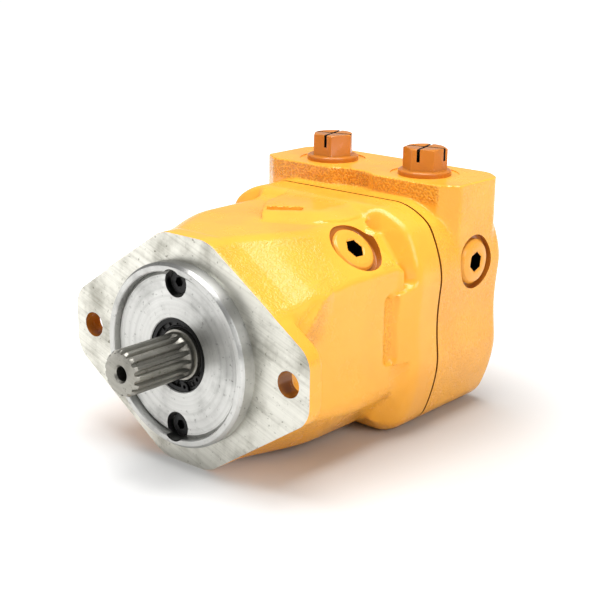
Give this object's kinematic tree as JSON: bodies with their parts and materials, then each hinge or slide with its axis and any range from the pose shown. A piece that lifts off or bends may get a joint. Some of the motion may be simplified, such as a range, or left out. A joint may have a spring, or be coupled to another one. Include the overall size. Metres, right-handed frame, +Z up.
{
  "type": "axial piston pump",
  "caption": "Fixed displacement swashplate pump: splined shaft, two-bolt pilot flange, cast housing, end cover with ports on top, and the rotating group inside.",
  "frame": {"origin": "on the shaft axis at the mounting flange's front face", "axes": "-Y out along the drive shaft, +Y towards the end cover, +Z up towards the ports, +X to the side that has the case drain plug"},
  "size_m": [0.174, 0.2424, 0.1588],
  "materials": {
    "yellow_paint": "gloss machine enamel over a cast skin",
    "steel_parts": "ground steel",
    "machined_iron": "bare machined grey iron",
    "shaft_steel": "dark oiled steel",
    "bronze": "bearing bronze",
    "black_rubber": "matt black",
    "black_steel": "black oxide"
  },
  "bodies": {
    "casing": {"front_housing": "yellow_paint", "end_cover": "yellow_paint", "housing_o_ring": "black_rubber", "cover_bolts": "yellow_paint", "cover_dowels": "steel_parts", "seal_carrier": "machined_iron", "seal_carrier_screws": "black_steel", "seal_carrier_o_ring": "black_rubber", "shaft_seal": "black_rubber", "seal_circlip": "black_steel", "front_bearing_cup": "steel_parts", "rear_bearing_ring": "steel_parts", "swashplate": "steel_parts", "swashplate_dowels": "steel_parts", "valve_plate": "bronze", "valve_plate_pin": "steel_parts", "case_drain_plug": "yellow_paint", "case_drain_seal": "black_rubber", "side_plug": "yellow_paint", "side_plug_seal": "black_rubber", "port_plug_left": "yellow_paint", "port_plug_right": "yellow_paint", "port_seals": "black_rubber"},
    "rotor": {"drive_shaft": "shaft_steel", "cylinder_block": "steel_parts", "ball_guide": "steel_parts", "block_spring": "steel_parts", "spring_front_washer": "steel_parts", "spring_rear_washer": "steel_parts", "spring_snap_ring": "steel_parts", "pressure_pins": "steel_parts", "front_bearing_cone": "steel_parts"},
    "shoe_carrier": {"retainer_plate": "steel_parts", "shoe_1": "bronze", "shoe_2": "bronze", "shoe_3": "bronze", "shoe_4": "bronze", "shoe_5": "bronze", "shoe_6": "bronze", "shoe_7": "bronze", "shoe_8": "bronze", "shoe_9": "bronze"},
    "piston_body_1": {"piston_1": "steel_parts"},
    "piston_body_2": {"piston_2": "steel_parts"},
    "piston_body_3": {"piston_3": "steel_parts"},
    "piston_body_4": {"piston_4": "steel_parts"},
    "piston_body_5": {"piston_5": "steel_parts"},
    "piston_body_6": {"piston_6": "steel_parts"},
    "piston_body_7": {"piston_7": "steel_parts"},
    "piston_body_8": {"piston_8": "steel_parts"},
    "piston_body_9": {"piston_9": "steel_parts"},
    "front_rollers": {"front_bearing_cage": "bronze", "front_bearing_rollers": "steel_parts"},
    "rear_rollers": {"rear_bearing_rollers": "steel_parts"}
  },
  "joints": [
    {"name": "shaft_spin", "type": "hinge", "parent": "casing", "child": "rotor", "pos_m": [0, 0, 0], "axis": [0, 1, 0], "continuous": true},
    {"name": "shoe_spin", "type": "hinge", "parent": "casing", "child": "shoe_carrier", "pos_m": [0, 0.053, 0], "axis": [0, 0.9703, 0.2419], "continuous": true},
    {"name": "piston_1_turn", "type": "hinge", "parent": "shoe_carrier", "child": "piston_body_1", "pos_m": [0.032, 0.053, 0], "axis": [0, 0.9703, 0.2419], "continuous": true},
    {"name": "piston_2_turn", "type": "hinge", "parent": "shoe_carrier", "child": "piston_body_2", "pos_m": [0.02451, 0.05798, -0.01996], "axis": [0, 0.9703, 0.2419], "continuous": true},
    {"name": "piston_3_turn", "type": "hinge", "parent": "shoe_carrier", "child": "piston_body_3", "pos_m": [0.00556, 0.06062, -0.03058], "axis": [0, 0.9703, 0.2419], "continuous": true},
    {"name": "piston_4_turn", "type": "hinge", "parent": "shoe_carrier", "child": "piston_body_4", "pos_m": [-0.016, 0.0597, -0.02689], "axis": [0, 0.9703, 0.2419], "continuous": true},
    {"name": "piston_5_turn", "type": "hinge", "parent": "shoe_carrier", "child": "piston_body_5", "pos_m": [-0.03007, 0.05565, -0.01062], "axis": [0, 0.9703, 0.2419], "continuous": true},
    {"name": "piston_6_turn", "type": "hinge", "parent": "shoe_carrier", "child": "piston_body_6", "pos_m": [-0.03007, 0.05035, 0.01062], "axis": [0, 0.9703, 0.2419], "continuous": true},
    {"name": "piston_7_turn", "type": "hinge", "parent": "shoe_carrier", "child": "piston_body_7", "pos_m": [-0.016, 0.0463, 0.02689], "axis": [0, 0.9703, 0.2419], "continuous": true},
    {"name": "piston_8_turn", "type": "hinge", "parent": "shoe_carrier", "child": "piston_body_8", "pos_m": [0.00556, 0.04538, 0.03058], "axis": [0, 0.9703, 0.2419], "continuous": true},
    {"name": "piston_9_turn", "type": "hinge", "parent": "shoe_carrier", "child": "piston_body_9", "pos_m": [0.02451, 0.04802, 0.01996], "axis": [0, 0.9703, 0.2419], "continuous": true},
    {"name": "front_rollers_spin", "type": "hinge", "parent": "casing", "child": "front_rollers", "pos_m": [0, 0.016, 0], "axis": [0, 1, 0], "continuous": true},
    {"name": "rear_rollers_spin", "type": "hinge", "parent": "casing", "child": "rear_rollers", "pos_m": [0, 0.1415, 0], "axis": [0, 1, 0], "continuous": true}
  ],
  "couplings": [
    {"joint": "shoe_spin", "follows": "shaft_spin", "ratio": 1},
    {"joint": "piston_1_turn", "follows": "shaft_spin", "ratio": -1},
    {"joint": "piston_2_turn", "follows": "shaft_spin", "ratio": -1},
    {"joint": "piston_3_turn", "follows": "shaft_spin", "ratio": -1},
    {"joint": "piston_4_turn", "follows": "shaft_spin", "ratio": -1},
    {"joint": "piston_5_turn", "follows": "shaft_spin", "ratio": -1},
    {"joint": "piston_6_turn", "follows": "shaft_spin", "ratio": -1},
    {"joint": "piston_7_turn", "follows": "shaft_spin", "ratio": -1},
    {"joint": "piston_8_turn", "follows": "shaft_spin", "ratio": -1},
    {"joint": "piston_9_turn", "follows": "shaft_spin", "ratio": -1},
    {"joint": "front_rollers_spin", "follows": "shaft_spin", "ratio": 0.44},
    {"joint": "rear_rollers_spin", "follows": "shaft_spin", "ratio": 0.405}
  ]
}
